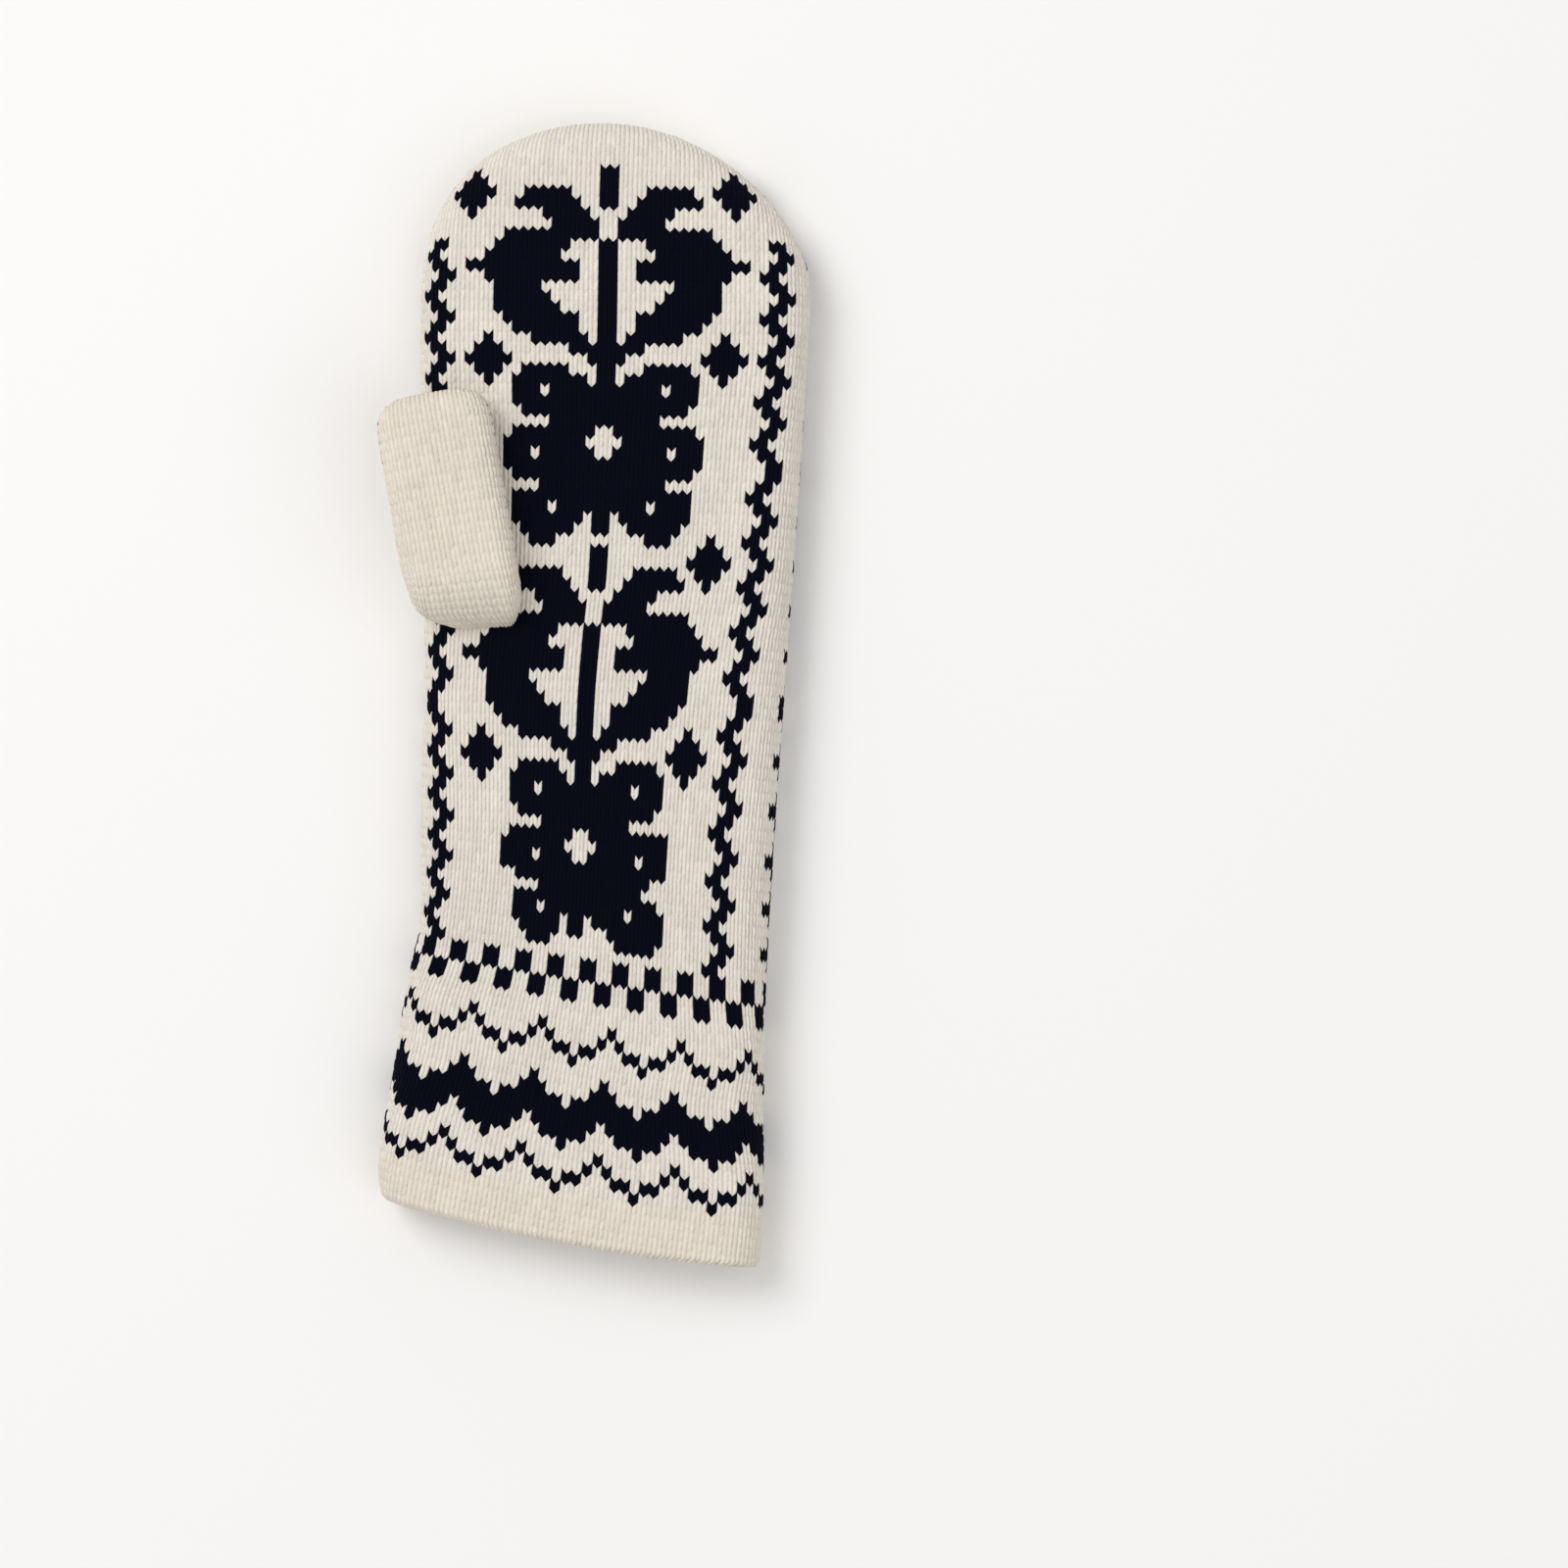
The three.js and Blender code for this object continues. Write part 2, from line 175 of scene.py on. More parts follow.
def reading(table, column, row):
    """One column of a table at any row, as a smooth curve through its lines."""
    at = table[:, ROW]
    value = table[:, column]
    i = np.clip(np.searchsorted(at, row) - 1, 0, len(at) - 2)
    before = np.maximum(i - 1, 0)
    after = np.minimum(i + 2, len(at) - 1)
    span = at[i + 1] - at[i]
    t = (row - at[i]) / span
    leave = (value[i + 1] - value[before]) / (at[i + 1] - at[before]) * span
    arrive = (value[after] - value[i]) / (at[after] - at[i]) * span
    return (value[i] * (2 * t**3 - 3 * t**2 + 1) + leave * (t**3 - 2 * t**2 + t)
            + value[i + 1] * (3 * t**2 - 2 * t**3) + arrive * (t**3 - t**2))


print("rows", ROWS[0, ROW], "to", LAST_ROW)

# %% [markdown]
# ## From flat cloth to a pressed tube
# The stitches are first placed on the cloth opened out flat. Near the outline the cloth turns
# over a round fold, so a point there is pulled in and comes down on a quarter circle. The same
# rule closes the round tip, whose outline is half an ellipse that leans towards the thumb's side.
# The palm swells a little and has a few soft dents, as in the CAD model.

# %% Folding the cloth over its edge
CROWN = 1.0 * MM
CROWN_REACH = 30.0 * MM
# place, depth, and reach across and along
DENTS = np.array([
    (-30.0, -31.0, 1.1, 13.0, 4.0),
    (22.0, -37.0, 0.8, 22.0, 5.0),
    (-8.0, -72.0, 0.6, 24.0, 7.0),
    (26.0, 60.0, 0.8, 12.0, 34.0),
    (-4.0, 46.0, -0.7, 12.0, 9.0),
]) * MM


def smooth(t):
    s = np.clip(t, 0, 1)
    return s * s * (3 - 2 * s)


# Where two sheets meet in a tip, each goes this far round the edge, as a share of the fold
LAP = 0.07
# Stands in for zero where a length is divided by
TINY = 1e-9


def fold_over(inside, radius, reach, arc):
    """For a point so far inside the opened outline: its pull inwards, height, turn and depth in.

    The fold is a quarter of an ellipse, as high as radius, as wide as reach and arc long. A point
    from outside the outline has been moved onto it, and goes round the edge as far as the lap.
    """
    turn = np.clip(inside / arc, -LAP, 1) * math.pi / 2
    depth_in = reach * (1 - np.cos(turn)) + np.maximum(inside - arc, 0)
    return depth_in + arc - reach - np.maximum(inside, 0), radius * np.sin(turn), turn, depth_in


def palm_rise(x, y, from_edge):
    rise = CROWN * smooth(from_edge / CROWN_REACH)
    for place_x, place_y, depth, across, along in DENTS:
        bell = np.exp(-((x - place_x) / across) ** 2 - ((y - place_y) / along) ** 2)
        rise = rise - depth * bell * smooth(from_edge / FOLD)
    return rise


print("dents in the palm:", len(DENTS))


# %% Placing a point of the hand
def tip_lean(beyond):
    return TIP_LEAN * smooth(beyond / TIP_LENGTH)


def lay_hand(column, row, side, inset=0.0):
    """Places points of the cloth. side is 1 on the palm, -1 on the back, 0 where it goes round."""
    tube_row = np.minimum(row, TIP_ROW)
    left = reading(ROWS, LEFT, tube_row) * MM
    right = reading(ROWS, RIGHT, tube_row) * MM
    middle = (left + right) / 2
    opened = (right - left) / 2 + OPENED * FOLD
    beyond = np.maximum(row - TIP_ROW, 0) * TIP_ROW_PITCH
    # The outline leans and the pattern doesn't, so on the cloth the pattern goes the other way
    lean = tip_lean(beyond)
    panel = reading(COLUMNS_AT, MIDDLE, row) * MM + lean
    pitch = reading(COLUMNS_AT, STITCH_WIDTH, row) * MM
    last_right = (middle + opened - panel) / pitch
    last_left = (middle - opened - panel) / pitch
    back_pitch = 2 * opened / (STITCHES_ROUND - last_right + last_left)
    on_palm = np.where(side == 0, (column >= last_left) & (column <= last_right), side > 0)
    round_right = opened - (column - last_right) * back_pitch
    round_left = -opened + (last_left - column) * back_pitch
    on_back = np.where(column > (last_left + last_right) / 2, round_right, round_left)
    x = np.where(on_palm, panel + column * pitch - middle, on_back + 2 * lean)
    up = np.where(on_palm, 1.0, -1.0)

    radius = FOLD - inset
    half = (right - left) / 2 - inset + OPENED * radius
    x = x * half / opened
    length = TIP_LENGTH - inset + OPENED * radius
    reach = np.hypot(x / half, beyond / length)
    steep_x = x / half**2
    steep_y = beyond / length**2
    steep = np.maximum(np.hypot(steep_x, steep_y), TINY)
    inside = np.where(beyond > 0, (1 - reach) * reach / steep, half - np.abs(x))
    inward_x = -steep_x / steep
    inward_y = -steep_y / steep
    # A point outside the outline goes onto it
    too_far = np.maximum(reach, 1)
    x = x / too_far
    beyond = beyond / too_far
    y = reading(ROWS, HEIGHT_UP, tube_row) * MM + beyond
    pull, height, turn, depth_in = fold_over(inside, radius, radius, radius * math.pi / 2)
    x = x + inward_x * pull + middle
    y = y + inward_y * pull
    rise = palm_rise(x, y, depth_in + inset) * height / radius
    slope = np.tan(np.radians(reading(ROWS, SLOPE, tube_row)))
    bow = reading(ROWS, BOW, tube_row)
    points = np.stack([
        FLOWER[0] + x - tip_lean(y - ROWS[-1, HEIGHT_UP] * MM),
        FLOWER[1] + y - slope * x + bow * x * x,
        FOLD + up * height + np.where(on_palm, rise, 0),
    ], axis=-1)
    outward = np.stack([
        -inward_x * np.cos(turn), -inward_y * np.cos(turn), up * np.sin(turn),
    ], axis=-1)
    return points, outward, inside


FLOWER_ROW = 37.9
flower_point = lay_hand(np.array([0.0]), np.array([FLOWER_ROW]), np.array([1]))[0]
print("flower on the cloth at", flower_point.round(4))

# %% [markdown]
# ## One stitch
# A knit stitch shows two legs that meet in a V. Each leg is a short fat strand: a small grid of
# faces, low along its edges and round in the middle. The grid is added as a primitive and its
# middle vertices are raised. It is read once, and then one copy of it is laid for each leg.

# %% The leg of a stitch
bpy.ops.mesh.primitive_grid_add(x_subdivisions=3, y_subdivisions=3, size=1)
leg = bpy.context.object
leg_points = np.array([vertex.co for vertex in leg.data.vertices])
LEG_FACES = np.array([list(face.vertices) for face in leg.data.polygons])
bpy.ops.object.delete()


def plump(t, edge):
    """Spreads a grid's lines towards its edges, so that the middle of a leg is broad."""
    return np.where((t > 0.01) & (t < 0.99), 0.5 + (t - 0.5) * edge, t)


BROADER_ACROSS = 1.45
BROADER_ALONG = 1.35
LEG_ACROSS = plump(leg_points[:, 0] + 0.5, BROADER_ACROSS)
LEG_ALONG = plump(leg_points[:, 1] + 0.5, BROADER_ALONG)
# The ends of a leg go under the next stitch, but not as deep as its sides
END_HEIGHT = 0.25
ends = np.minimum(LEG_ALONG, 1 - LEG_ALONG) > 0.01
sides = np.minimum(LEG_ACROSS, 1 - LEG_ACROSS) > 0.01
LEG_HEIGHT = np.where(sides, np.where(ends, 1.0, END_HEIGHT), 0.0)
# How much higher the outer edge of a leg lies than its foot, in rows
V_RISE = 0.44
LEG_CROWN = 0.36 * MM
# Navy was the stronger of the two yarns, so its stitches are fuller and cover their neighbours
DARK_FULLER = 0.10
DARK_LONGER = 0.06
DARK_LIFT = 0.10 * MM
# The stitches are sunk by this much, so that their tops lie on the surface of the model
SINK = 0.40 * MM
# The table presses the stitches of the back flat, so that none goes through it
TABLE = 0.03 * MM
print("faces in a leg:", len(LEG_FACES))

# %% [markdown]
# ## Laying the stitches
# A piece of knitting is a list of stitches with a column, a row and a side. All legs are placed
# at once with arrays, because thousands of operator calls would take hours. Each vertex carries
# the colour of its yarn, and each leg has its own small UV square for the twist of the yarn.

# %% A mesh from arrays
rng = np.random.default_rng(7)
# How much the legs differ in height, as a share
UNEVENNESS = 0.12


def new_piece(name, points, faces, uv, yarn, material):
    """A mesh object from arrays: its points, quads, one UV and one yarn value for each point."""
    mesh = bpy.data.meshes.new(name)
    mesh.from_pydata(points.tolist(), [], faces.tolist())
    corners = faces.reshape(-1)
    layer = mesh.uv_layers.new(name="strand")
    layer.data.foreach_set("uv", uv[corners].astype(np.float32).reshape(-1))
    values = np.ones((len(points), 4), dtype=np.float32)
    values[:, :3] = yarn
    yarn_layer = mesh.color_attributes.new("yarn", "FLOAT_COLOR", "POINT")
    yarn_layer.data.foreach_set("color", values.reshape(-1))
    mesh.polygons.foreach_set("use_smooth", np.ones(len(faces), dtype=bool))
    mesh.materials.append(material)
    mesh.update()
    piece = bpy.data.objects.new(name, mesh)
    bpy.context.collection.objects.link(piece)
    return piece


print("unevenness of the legs:", UNEVENNESS)


# %% Legs and inner face
def lay_stitches(lay, stitches, colours):
    """The legs of all stitches: points, faces, UVs and yarn values.

    The yarn values of a point are navy or cream, the tint of its leg, and whether it lies inside.
    """
    column, row, side = (stitches[:, i, None, None] for i in range(3))
    across = np.stack([LEG_ACROSS, LEG_ACROSS])[None]
    along = np.stack([LEG_ALONG, LEG_ALONG])[None]
    which = np.array([0.0, 1.0])[None, :, None]
    dark = np.broadcast_to(colours[:, None, None], (len(stitches), 2, len(LEG_ACROSS)))
    fuller = 0.5 + (across - 0.5) * (1 + DARK_FULLER * dark)
    columns = column + 0.5 * which + 0.5 * fuller
    rows = row + along + V_RISE * np.where(which == 0, 1 - fuller, fuller)
    rows = rows + (along - 0.5) * DARK_LONGER * dark
    sides_of = np.broadcast_to(side, columns.shape)
    points, outward, _ = lay(columns, rows, sides_of)
    plumpness = 1 + UNEVENNESS * rng.standard_normal((len(stitches), 2, 1))
    height = LEG_HEIGHT * LEG_CROWN * plumpness + DARK_LIFT * dark - SINK
    points = points + outward * height[..., None]
    points[..., 2] = np.maximum(points[..., 2], TABLE)
    count = len(stitches) * 2
    faces = LEG_FACES[None] + len(LEG_ACROSS) * np.arange(count)[:, None, None]
    uv = np.broadcast_to(np.stack([across, along], axis=-1), columns.shape + (2,))
    tint = rng.uniform(0, 1, (len(stitches), 2, 1)) * np.ones(len(LEG_ACROSS))
    yarn = np.stack([dark, tint, np.zeros_like(dark)], axis=-1)
    return points.reshape(-1, 3), faces.reshape(-1, 4), uv.reshape(-1, 2), yarn.reshape(-1, 3)


def lay_inside(lay, stitches, colours, wall):
    """The inner face of the wall: one purl bump, a single quad, behind each stitch."""
    column, row, side = (stitches[:, i, None] for i in range(3))
    across = np.array([[0.0, 1.0, 1.0, 0.0]])
    along = np.array([[0.0, 0.0, 1.0, 1.0]])
    sides_of = np.broadcast_to(side, (len(stitches), 4))
    points, _, _ = lay(column + across, row + along, sides_of, wall)
    faces = np.arange(len(stitches) * 4).reshape(-1, 4)[:, ::-1]
    uv = np.broadcast_to(np.stack([along, across], axis=-1), (len(stitches), 4, 2))
    tint = rng.uniform(0, 1, (len(stitches), 1)) * np.ones(4)
    dark = np.broadcast_to(colours[:, None], tint.shape)
    yarn = np.stack([dark, tint, np.ones_like(dark)], axis=-1)
    return points.reshape(-1, 3), faces, uv.reshape(-1, 2), yarn.reshape(-1, 3)


print("points in a stitch:", 2 * len(LEG_ACROSS))


# %% A whole piece of knitting
def knit(name, lay, stitches, colours, material, inside=None):
    """One piece of knitting, with the inner face of its wall if that is given."""
    parts = [lay_stitches(lay, stitches, colours)]
    if inside is not None:
        parts.append(inside)
    start = 0
    shifted = []
    for points, faces, _, _ in parts:
        shifted.append(faces + start)
        start += len(points)
    points = np.concatenate([part[0] for part in parts])
    uv = np.concatenate([part[2] for part in parts])
    yarn = np.concatenate([part[3] for part in parts])
    piece = new_piece(name, points, np.concatenate(shifted), uv, yarn, material)
    print(name, "stitches:", len(stitches), "triangles:", 2 * len(piece.data.polygons))
    return piece


print("stitches in a round of the hand:", STITCHES_ROUND)

# %% [markdown]
# ## The pattern
# The pattern is an old kind of folk ornament and it is charted as a knitter would. Half
# of the motif is drawn, fifteen columns from the middle outwards, and the other half mirrors it.
# The motif is 36 rows high and comes twice on the palm and twice on the back. Stars stand beside
# it, a zigzag and a line of dots run up each side, and the cuff has a row of small squares and
# three chevron bands.

# %% The chart
MOTIF = """
#..............
#..............
#...#####......
#..#######.....
..#####........
.#####.........
.##########....
#...########...
#....########..
#..############
#..##########..
#......#####...
#.....######...
#....#######...
#..########....
#..#######.....
#.######.......
####...........
##.............
#...#####......
#.########.....
######.###.....
##########.....
#########......
######.........
.#########.....
..#########....
.######.###....
###########....
##########.....
#######........
##########.....
#####.####.....
#.########.....
#..######......
.....###.......
""".split()
# The lower flower on the palm isn't even: its left petals are drawn in and its right ones let out
LOWER_LEFT_PETALS = """
#..#####.......
#.#######......
#####.###......
#########......
########.......
#####..........
.########......
..########.....
.####.####.....
##########.....
########.......
#####..........
########.......
####.###.......
#.######.......
#.#####........
...###.........
""".split()
LOWER_RIGHT_PETALS = """
#...#####......
#.########.....
######.###.....
##########.....
#########......
######.........
.##########....
..#########....
.######.###....
###########....
#########......
########.......
##########.....
######.####....
#.#########....
#...#######....
.....#####.....
""".split()
print("rows in the motif:", len(MOTIF))

# %% Where the figures stand
# Each star is a diamond: the row of its middle, and its place outwards on the left and the right
STARS = ((97, 15, 14), (81, 13, 13), (62, 13, 13), (45, 13, 13))
STAR_REACH = 2
MOTIF_ROWS = len(MOTIF)
MOTIF_WIDTH = 15
LOWER_MOTIF_TOP = 63
UPPER_MOTIF_TOP = 99
HEM_ROWS = 5
CUFF_ROWS = 27
CHEVRON_WIDTH = 8
CHEVRON_PEAK = -3
# The first column of the cuff's round, where its figures start
CUFF_START = -25
CHEVRON_RISE = (3, 2, 1, 1, 0)
CHEVRON_ROWS = (5, 9, 10, 11, 12, 17)
SQUARES_ROW = 23
# A dark square is two stitches wide, and so is the gap beside it
SQUARES_REPEAT = 4
ZIGZAG_FIRST_ROW, ZIGZAG_LAST_ROW = 27, 92
# The first of the zigzag's two stitches, outwards from the middle, on each of its four rows
ZIGZAG_STEPS = (17, 18, 19, 18)
# The dots beside the fold stand in this one of the four rows
DOT_STEP = 2
# The zigzag is knitted a row late below each of these rows
ZIGZAG_SLIPS = (71, 50)
SIDE_DOTS = (24, -25)
PETAL_ROW = 19
# The palm's columns are those from minus this number up to just below it
SIDE_COLUMN = 23
print("stars:", 2 * len(STARS), "chevron rows:", CHEVRON_ROWS)


# %% Reading the chart
def pattern_column(column):
    """Counts from the middle of the palm or of the back outwards, from 1."""
    half = STITCHES_ROUND // 2
    if column >= 0:
        return column + 1 if column < SIDE_COLUMN else half - column
    return -column if column >= -SIDE_COLUMN else column + half + 1


def is_dark(column, row):
    """Whether the stitch of that column and row is navy."""
    if row < HEM_ROWS:
        return False
    if row < CUFF_ROWS:
        rounded = column if column >= CUFF_START else column + STITCHES_ROUND
        half_width = CHEVRON_WIDTH // 2
        from_peak = abs((rounded - CHEVRON_PEAK + half_width) % CHEVRON_WIDTH - half_width)
        if row - CHEVRON_RISE[from_peak] in CHEVRON_ROWS:
            return True
        in_square = rounded % SQUARES_REPEAT
        if row in (SQUARES_ROW, SQUARES_ROW + 1):
            return in_square in (3, 0)
        return row in (SQUARES_ROW + 2, SQUARES_ROW + 3) and in_square in (1, 2)
    out = pattern_column(column)
    for top in (LOWER_MOTIF_TOP, UPPER_MOTIF_TOP):
        down = top - row
        if 0 <= down < MOTIF_ROWS:
            drawn = MOTIF[down]
            if top == LOWER_MOTIF_TOP and down >= PETAL_ROW and abs(column) <= MOTIF_WIDTH:
                petals = LOWER_RIGHT_PETALS if column >= 0 else LOWER_LEFT_PETALS
                drawn = petals[down - PETAL_ROW]
            if out <= MOTIF_WIDTH and drawn[out - 1] == "#":
                return True
    for star_row, left_out, right_out in STARS:
        star_out = right_out if column >= 0 else left_out
        if abs(row - star_row) + abs(out - star_out) <= STAR_REACH:
            return True
    if ZIGZAG_FIRST_ROW <= row <= ZIGZAG_LAST_ROW:
        step = (row + sum(row < slip for slip in ZIGZAG_SLIPS) - 1) % len(ZIGZAG_STEPS)
        first = ZIGZAG_STEPS[step]
        return out in (first, first + 1) or (column in SIDE_DOTS and step == DOT_STEP)
    return False


for line in range(LOWER_MOTIF_TOP, HEM_ROWS - 1, -1):
    print("".join("#" if is_dark(column, line) else "." for column in range(-26, 27)))

# %% [markdown]
# ## The wool
# The yarn is a soft two-ply wool, a little felted. Its colour comes from the stitch, with a small
# difference from stitch to stitch and fine light and dark fibres, and painted shade darkens each leg
# softly along its edges, where it dips into the hollow beside the next.
# The bump has the twist of the two plies and the fibre at a finer scale. The whole effect is one
# group of nodes, so that the patterned and the plain wool can use it with values of their own.

# %% The yarn as a group of nodes
CREAM = (0.80, 0.748, 0.675, 1)
NAVY = (0.002, 0.0026, 0.0085, 1)
PLAIN_CREAM = (0.79, 0.725, 0.63, 1)
FIBRE_SCALE = 2600.0
FIBRE_DETAIL = 3.0
PATCH_SCALE = 60.0
# How far the stripes of the twist run along a leg and across it, in radians
TWIST_ALONG = 15.0
TWIST_ACROSS = 7.0
# How strongly each shows in the colour
FIBRE_SHADE = 0.35
PATCH_SHADE = 0.12
# The darkening along the edges of a leg is painted shade
LEG_EDGE_PAINTED_SHADE = 0.09
# How much each counts in the relief
ROUND_RELIEF = 0.6
TWIST_RELIEF = 0.25
FIBRE_RELIEF = 0.5
RELIEF_DEPTH = 0.4 * MM


def yarn_group():
    group = bpy.data.node_groups.new("yarn", "ShaderNodeTree")
    sockets = group.interface
    for name, in_out, kind in (
        ("Light", "INPUT", "NodeSocketColor"), ("Dark", "INPUT", "NodeSocketColor"),
        ("Variation", "INPUT", "NodeSocketFloat"),
        ("Color", "OUTPUT", "NodeSocketColor"), ("Height", "OUTPUT", "NodeSocketFloat"),
    ):
        sockets.new_socket(name=name, in_out=in_out, socket_type=kind)
    nodes = group.nodes
    links = group.links

    def node(kind, **settings):
        made = nodes.new(kind)
        for setting, value in settings.items():
            setattr(made, setting, value)
        return made

    def math_node(operation, a, b):
        made = node("ShaderNodeMath", operation=operation)
        for socket, value in zip(made.inputs, (a, b)):
            if isinstance(value, (int, float)):
                socket.default_value = value
            else:
                links.new(value, socket)
        return made.outputs["Value"]

    entry = node("NodeGroupInput")
    leave = node("NodeGroupOutput")
    place = node("ShaderNodeTexCoord").outputs["Object"]
    yarn = node("ShaderNodeVertexColor", layer_name="yarn").outputs["Color"]
    parts = node("ShaderNodeSeparateColor")
    links.new(yarn, parts.inputs["Color"])
    dark, tint = parts.outputs["Red"], parts.outputs["Green"]

    strand = node("ShaderNodeUVMap", uv_map="strand").outputs["UV"]
    uv = node("ShaderNodeSeparateXYZ")
    links.new(strand, uv.inputs["Vector"])
    across, along = uv.outputs["X"], uv.outputs["Y"]

    fibre = node("ShaderNodeTexNoise")
    fibre.inputs["Scale"].default_value = FIBRE_SCALE
    fibre.inputs["Detail"].default_value = FIBRE_DETAIL
    links.new(place, fibre.inputs["Vector"])
    patch = node("ShaderNodeTexNoise")
    patch.inputs["Scale"].default_value = PATCH_SCALE
    links.new(place, patch.inputs["Vector"])

    # The twist of the two plies: slanted stripes along the leg
    run_along = math_node("MULTIPLY", along, TWIST_ALONG)
    slant = math_node("ADD", run_along, math_node("MULTIPLY", across, TWIST_ACROSS))
    twist = math_node("MULTIPLY_ADD", math_node("SINE", slant, 0.0), 0.5)
    from_far_side = math_node("SUBTRACT", 1.0, across)
    round_leg = math_node("MULTIPLY", math_node("MULTIPLY", across, from_far_side), 4.0)

    # Brightness: the tint of the stitch, the fibre, patches, and painted shade along the edges of
    # each leg
    spread = math_node("SUBTRACT", tint, 0.5)
    shade = math_node("MULTIPLY", spread, entry.outputs["Variation"])
    for noise, amount in ((fibre, FIBRE_SHADE), (patch, PATCH_SHADE)):
        centred = math_node("SUBTRACT", noise.outputs["Fac"], 0.5)
        shade = math_node("ADD", shade, math_node("MULTIPLY", centred, amount))
    # Painted shade: each leg is darker towards its edges, where the legs dip between each other
    leg_edge_painted_shade = math_node("MULTIPLY", math_node("SUBTRACT", round_leg, 1.0), LEG_EDGE_PAINTED_SHADE)
    shade = math_node("ADD", math_node("ADD", shade, leg_edge_painted_shade), 1.0)

    mixed = node("ShaderNodeMix", data_type="RGBA")
    links.new(dark, mixed.inputs["Factor"])
    links.new(entry.outputs["Light"], mixed.inputs["A"])
    links.new(entry.outputs["Dark"], mixed.inputs["B"])
    shaded = node("ShaderNodeVectorMath", operation="SCALE")
    links.new(mixed.outputs["Result"], shaded.inputs["Vector"])
    links.new(shade, shaded.inputs["Scale"])
    links.new(shaded.outputs["Vector"], leave.inputs["Color"])

    rounding = math_node("MULTIPLY", round_leg, ROUND_RELIEF)
    height = math_node("ADD", rounding, math_node("MULTIPLY", twist, TWIST_RELIEF))
    height = math_node("ADD", height, math_node("MULTIPLY", fibre.outputs["Fac"], FIBRE_RELIEF))
    links.new(height, leave.inputs["Height"])
    return group


YARN = yarn_group()
print("nodes in the yarn group:", len(YARN.nodes))


# %% The two wools
def wool(name, light, dark, variation, bump):
    """A wool material with its own colours, difference between stitches, and depth of relief."""
    material = bpy.data.materials.new(name)
    material.use_nodes = True
    nodes = material.node_tree.nodes
    links = material.node_tree.links
    shader = nodes["Principled BSDF"]
    yarn = nodes.new("ShaderNodeGroup")
    yarn.node_tree = YARN
    yarn.inputs["Light"].default_value = light
    yarn.inputs["Dark"].default_value = dark
    yarn.inputs["Variation"].default_value = variation
    relief = nodes.new("ShaderNodeBump")
    relief.inputs["Strength"].default_value = bump
    relief.inputs["Distance"].default_value = RELIEF_DEPTH
    links.new(yarn.outputs["Color"], shader.inputs["Base Color"])
    links.new(yarn.outputs["Height"], relief.inputs["Height"])
    links.new(relief.outputs["Normal"], shader.inputs["Normal"])
    shader.inputs["Roughness"].default_value = 0.92
    shader.inputs["Specular IOR Level"].default_value = 0.03
    shader.inputs["Sheen Weight"].default_value = 0.015
    shader.inputs["Sheen Roughness"].default_value = 0.6
    return material


PATTERNED_WOOL = wool("patterned_wool", CREAM, NAVY, variation=0.10, bump=0.5)
PLAIN_WOOL = wool("plain_wool", PLAIN_CREAM, NAVY, variation=0.08, bump=0.3)
print("materials:", PATTERNED_WOOL.name, PLAIN_WOOL.name)

# %% [markdown]
# ## The thumb's place
# The thumb is a smaller tube of its own. It comes up out of an opening in the palm, turns over
# and lies along the palm, leaning out to the left, with a rounded square end. Its rows first
# turn with the root and then run along it. The palm's stitches stop at the opening.

# %% Folding the thumb
THUMB_BASE = np.array([-30.5, 53.4]) * MM
THUMB_END = np.array([-43.9, 112.9]) * MM
THUMB_HALF_WIDTH = 14.8 * MM
THUMB_ROOT_HALF_WIDTH = 9.6 * MM
THUMB_ROOT_SHIFT = 3.4 * MM
THUMB_ROOT_FOLD = 3.6 * MM
THUMB_SLANT = 0.133
THUMB_SLANT_LENGTH = 22.0 * MM
THUMB_THICKNESS = 12.0 * MM
THUMB_ROOT_DEPTH = 16.0 * MM
THUMB_WALL = 2.8 * MM
THUMB_TURN_RADIUS = 1.5 * MM
THUMB_TIP_LENGTH = 13.0 * MM
SQUARENESS = 3.2
THUMB_REST = 2 * FOLD + CROWN + 0.4 * MM
THUMB_ROUND = 30
THUMB_ROOT_ROWS = 10
THUMB_ROW_PITCH = 2.68 * MM

thumb_line = THUMB_END - THUMB_BASE
thumb_length = float(np.hypot(*thumb_line))
thumb_along = thumb_line / thumb_length
thumb_across = np.array([thumb_along[1], -thumb_along[0]])
turn_at = THUMB_ROOT_DEPTH + THUMB_TURN_RADIUS
turn_height = THUMB_REST - THUMB_TURN_RADIUS
# The palm's stitches run this far into the thumb's root
OPENING_LAP = 1.5 * MM
print("thumb length", round(thumb_length, 4))


